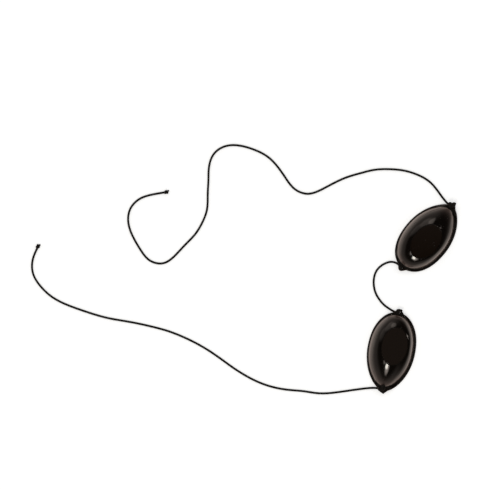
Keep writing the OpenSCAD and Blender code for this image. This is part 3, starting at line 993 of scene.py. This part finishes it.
def ear_skin(hole_x, hole_out, outwards):
    """Rings of an ear, each a full turn round the hole, from the hole's lower rim up its
    wall, out over the top, round the edge and back underneath. Its four corners are
    quarter circles, each between a distance from the hole and a height."""
    turn, reach = ear_outline(hole_out)
    quarter = np.linspace(0, pi / 2, CORNER_RINGS)
    late, early = 1 - np.sin(quarter), 1 - np.cos(quarter)
    rows = []
    for edge, inset, level, lift in (
            (HOLE_R, HOLE_EDGE * late, EAR_Z, HOLE_EDGE * early),
            (HOLE_R, HOLE_EDGE * early, EAR_TOP, -HOLE_EDGE * late),
            (reach, -EAR_EDGE * late, EAR_TOP, -EAR_EDGE * early),
            (reach, -EAR_EDGE * early, EAR_Z, EAR_EDGE * late)):
        for distance, z in zip([edge + step for step in inset], level + lift):
            flat = [hole_x + outwards * distance * np.cos(turn), distance * np.sin(turn)]
            rows.append(at_height(np.stack(flat, -1), z))
    return np.stack(rows)


# %% [markdown]
# The skin and the two ears are closed shells that run a little way into one another, as
# the moulded plastic is one body there. Joined into one object they take one material.
# Each point also carries the attribute lit, which tells the plastic how much painted glow,
# standing in for light through the thin wall, to paint into its colour.

# %% Both cups
def join(name, parts):
    """One object from several, all in place already."""
    bpy.ops.object.select_all(action="DESELECT")
    for part in parts:
        part.select_set(True)
    bpy.context.view_layer.objects.active = parts[0]
    bpy.ops.object.join()
    parts[0].name = name
    return parts[0]


def eye_cup(side):
    """A cup's skin and its two ears, as one piece."""
    skin, lit = cup_skin()
    shapes = [skin, ear_skin(-CUP_NOSE_L - NOSE_HOLE_OUT, NOSE_HOLE_OUT, -1),
              ear_skin(CUP_TEMPLE_L + TEMPLE_HOLE_OUT, TEMPLE_HOLE_OUT, 1)]
    parts = [ring_mesh(side + "_cup_shell", place_cup(shape, side), wrapped=True) for shape in shapes]
    unlit = np.zeros(len(shapes[1]))
    for part, rings in zip(parts, (lit, unlit, unlit)):
        values = part.data.attributes.new("lit", "FLOAT", "POINT")
        values.data.foreach_set("value", np.repeat(rings, len(part.data.vertices) // len(rings)))
    piece = join(side + "_cup_shell", parts)
    piece.data.materials.append(cup_plastic)
    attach(piece, side + "_cup")
    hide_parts(side + "_eye_cup")
    return piece


cups = [eye_cup(side) for side in HOLES]
print("cups, faces and height in mm:",
      [(len(cup.data.polygons), round(cup.dimensions.z / MM, 1)) for cup in cups])

# %% [markdown]
# The lens is an oval plate let into the cup. Its plastic is a little redder in its depth
# than the cup's and better polished. Its face is very slightly crowned and its edge has a
# fine bevel, so that a thin line of light separates it from the cup.

# %% Lenses
LENS_CROWN = 0.12        # mm, the middle of the face above its edge
LENS_BEVEL, LENS_UNDER_BEVEL = 0.16, 0.1     # mm, round its face and its underside
FACE_RINGS, BEVEL_RINGS = 18, 5
FIRST_RING = 0.04        # share of the lens's size at which its middle is closed


def lens_skin():
    """Rings of a lens from the middle of its face out over the bevel and down to its flat
    underside. The face's height is crown * (1 - s^2), with s from 0 to 1 at the edge."""
    rings = []

    def ring(s, drop, z):
        """The oval at a share s of its size, drawn in by drop, at the height z."""
        shape = oval(0.0, z)
        shape[:, 0] *= s - drop / LENS_HALF_L
        shape[:, 1] *= s - drop / LENS_HALF_W
        rings.append(in_cup(shape))

    for s in np.linspace(FIRST_RING, 1, FACE_RINGS):
        ring(s, LENS_BEVEL if s == 1 else 0.0, -LENS_CROWN + LENS_CROWN * (1 - s * s))
    for a in np.linspace(0, pi / 2, BEVEL_RINGS)[1:]:
        ring(1, LENS_BEVEL * (1 - sin(a)), -LENS_CROWN - LENS_BEVEL * (1 - cos(a)))
    ring(1, 0.0, -LENS_T + LENS_UNDER_BEVEL)
    ring(1, LENS_UNDER_BEVEL, -LENS_T)
    ring(FIRST_RING, 0.0, -LENS_T)
    return np.stack(rings)


def lens(side):
    """A lens in its cup's place."""
    piece = ring_mesh(side + "_lens_plate", place_cup(lens_skin(), side))
    piece.data.materials.append(lens_plastic)
    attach(piece, side + "_cup")
    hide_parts(side + "_lens")
    return piece


lenses = [lens(side) for side in HOLES]
print("lenses, faces each:", [len(made.data.polygons) for made in lenses])

# %% [markdown]
# The table is a plain white sheet. The camera sees it lifted to white, a glossy surface
# sees it as an evenly lit table of the room's warm tint, and soft light and shadow fall
# on it as on any matt surface.

# %% Table
ROOM_TINT = (1.0, 0.86, 0.77)
TABLE_GLOSS = 1.35       # how bright the table looks in the plastic
TABLE_COLOR = (0.86, 0.86, 0.86)
FLOOR_LIFT = 0.42        # light added to the table for the camera alone, so that it is white
FLOOR_HALF = 2.0         # m
FLOOR_DROP = 0.02        # mm below the cups' rims, so that they don't share a plane

floor_mesh = bpy.data.meshes.new("table")
floor_mesh.from_pydata([(-FLOOR_HALF, -FLOOR_HALF, 0), (FLOOR_HALF, -FLOOR_HALF, 0),
                        (FLOOR_HALF, FLOOR_HALF, 0), (-FLOOR_HALF, FLOOR_HALF, 0)], [], [(0, 1, 2, 3)])
floor = in_scene("table", floor_mesh)
floor.location = (0, 0, -FLOOR_DROP * MM)

table = Shader(bpy.data.materials.new("white_table"))
seen = table.node("ShaderNodeLightPath", out="Is Camera Ray")
in_gloss = table.node("ShaderNodeLightPath", out="Is Glossy Ray")
white = rgb(1, 1, 1)
matt = table.node("ShaderNodeBsdfDiffuse", None, {"Color": rgb(*TABLE_COLOR)}, out="BSDF")
lifted = table.node("ShaderNodeAddShader", None, {
    0: matt, 1: table.node("ShaderNodeEmission", None, {"Color": white, "Strength": seen * FLOOR_LIFT})})
reflected = table.node("ShaderNodeEmission", None, {"Color": rgb(*ROOM_TINT), "Strength": TABLE_GLOSS})
table.end("ShaderNodeOutputMaterial",
          table.node("ShaderNodeMixShader", None, {0: in_gloss, 1: lifted, 2: reflected}))
floor_mesh.materials.append(table.owner)
print("table, m:", [round(side, 1) for side in floor.dimensions])

# %% [markdown]
# The goggles lie under a dark ceiling in a room with a bright horizon, and the glossy
# plastic shows this room: the horizon, which is brighter on one side, in its steep walls,
# the ceiling and a faint glow on it in the lenses, three windows as a crescent round each
# lens, and small bright spots where the lamp's halo, its flare and a lamp further off are
# mirrored.

# %% What the room holds
SOFT_LIGHT = 0.62        # the world as soft light
HORIZON, CEILING = 1.2, 0.015    # how bright they look in the plastic
HORIZON_FADE, LIT_SIDE_FADE = (-0.30, 0.62), (0.55, 0.77)    # heights, 1 being straight up
HORIZON_CURVE = 1.5      # how fast the horizon's light falls off upwards

# Bright patches of the room: turn, height, full within, gone at (degrees), strength
LIT_SIDE = (195, 0, 100, 130, 0.36)
WINDOW_RIGHT = (86, 46, 3, 9, 1.50)
WINDOW_MIDDLE = (104, 43, 5, 15, 0.70)
WINDOW_LEFT = (132, 43, 5, 16, 0.40)
LAMP_HALO = (257, 58, 0, 9, 5.0)
LAMP_FLARE = (220, 64, 2, 6, 3.0)
FAR_LAMP = (24, 48, 0.5, 3, 9.0)
CEILING_GLOW = (40, 76, 4, 20, 0.12)
PATCHES = WINDOW_RIGHT, WINDOW_MIDDLE, WINDOW_LEFT, LAMP_HALO, LAMP_FLARE, FAR_LAMP, CEILING_GLOW
print("patches besides the lit side:", len(PATCHES))

# %% [markdown]
# The world's own coordinates are the direction of each ray, and its dot product with the
# direction of a patch tells how far it points past that patch. The light path then sorts
# the rays: gloss sees the room, soft light comes from a plain grey, and the camera sees
# white.

# %% World
room = Shader(bpy.data.worlds.new("studio"))
scene.world = room.owner
way = room.node("ShaderNodeTexCoord", out="Generated")
height = room.node("ShaderNodeSeparateXYZ", None, {"Vector": way}, out="Z")


def glow_towards(turn, up, near, far, strength):
    """A soft-edged bright patch of the room, full within near degrees of a direction and
    gone at far degrees from it."""
    aligned = room.node("ShaderNodeVectorMath", {"operation": "DOT_PRODUCT"},
                        {0: way, 1: direction(turn, up)}, out="Value")
    return aligned.ramp(cos(radians(far)), cos(radians(near))) * strength


walls = (1.0 - height.ramp(*HORIZON_FADE)) ** HORIZON_CURVE * HORIZON
lit_side = glow_towards(*LIT_SIDE) * (1.0 - height.ramp(*LIT_SIDE_FADE))
glossy_light = walls + lit_side + CEILING
for patch in PATCHES:
    glossy_light = glossy_light + glow_towards(*patch)
path = room.node("ShaderNodeLightPath", out="Is Glossy Ray")
camera_path = room.node("ShaderNodeLightPath", out="Is Camera Ray")
strength = glossy_light * path + (1.0 - path) * SOFT_LIGHT
strength = strength * (1.0 - camera_path) + camera_path
tint = room.mix(path, white, rgb(*ROOM_TINT))
room.end("ShaderNodeOutputWorld",
         room.node("ShaderNodeBackground", None, {"Color": tint, "Strength": strength}))
print("world, nodes:", len(room.tree.nodes))

# %% [markdown]
# One soft lamp stands on the side of the picture's lower edge. It gives the cups their
# brightest spot and the table its faint shadows. It is square and rather small, because
# the spot in the photograph is short and has clear edges.

# %% Lamp
LAMP_POWER, LAMP_SIDE = 2.9, 0.22        # W and m
LAMP_TINT = (1.0, 0.96, 0.86)
LAMP_TURN, LAMP_UP = 249, 61             # degrees round from +X and above the table
LAMP_AWAY = 1.4                          # m
LAMP_AIM = Vector((0, 0, 0.005))         # m, between the cups and half way up them

lamp_data = bpy.data.lights.new("key_lamp", "AREA")
lamp_data.energy, lamp_data.size, lamp_data.color = LAMP_POWER, LAMP_SIDE, LAMP_TINT
lamp = in_scene("key_lamp", lamp_data)
lamp_way = direction(LAMP_TURN, LAMP_UP)
lamp.location = LAMP_AIM + lamp_way * LAMP_AWAY
lamp.rotation_euler = (-lamp_way).to_track_quat("-Z", "Y").to_euler()
print("lamp at, m:", [round(place, 2) for place in lamp.location])
